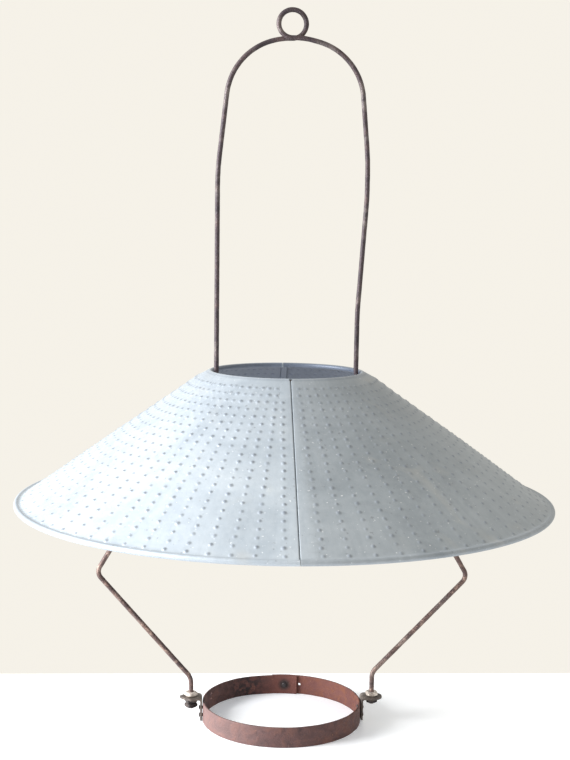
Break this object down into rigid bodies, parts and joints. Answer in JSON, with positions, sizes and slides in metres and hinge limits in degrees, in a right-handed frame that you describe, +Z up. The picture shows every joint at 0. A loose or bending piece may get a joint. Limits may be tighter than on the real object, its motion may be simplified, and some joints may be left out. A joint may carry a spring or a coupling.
{
  "type": "hanging oil lamp frame",
  "caption": "Hanging oil lamp frame: a bent wire harp with an eye, a conical lock-seamed tin shade with a dotted face, and a riveted strap ring that holds the lamp's fount.",
  "frame": {"origin": "centre of the fount ring's lower edge, on the surface that the lamp stands on", "axes": "+Z up through the ring, the shade and the hanging eye; +X to the right, in the harp's plane; the shade's seams face -Y and +Y"},
  "size_m": [0.406, 0.406, 0.5399],
  "materials": {
    "tin": "dull galvanised sheet, raised dots",
    "wire": "browned steel wire with rust",
    "strap": "rusty steel strap",
    "lug": "old brown iron",
    "rivet": "rusty rivet heads",
    "nut": "worn steel with rust"
  },
  "bodies": {
    "frame": {"harp_wire": "wire", "fount_ring": "strap", "lap_rivet": "rivet", "lug_left": "lug", "lug_right": "lug", "lug_left_rivet_low": "rivet", "lug_left_rivet_high": "rivet", "lug_right_rivet_low": "rivet", "lug_right_rivet_high": "rivet", "nut_left_top": "nut", "nut_left_bottom": "nut", "nut_left_jam": "nut", "nut_right_top": "nut", "nut_right_bottom": "nut"},
    "shade_collar": {"neck_wire": "wire"},
    "shade": {"shade_panel_left": "tin", "shade_panel_right": "tin", "rim_wire": "wire"}
  },
  "joints": [
    {"name": "shade_lift", "type": "slide", "parent": "frame", "child": "shade_collar", "axis": [0, 0, 1], "range_m": [0, 0.045]},
    {"name": "shade_turn", "type": "hinge", "parent": "shade_collar", "child": "shade", "pos_m": [0, 0, 0.2702], "axis": [0, 0, 1], "continuous": true}
  ]
}
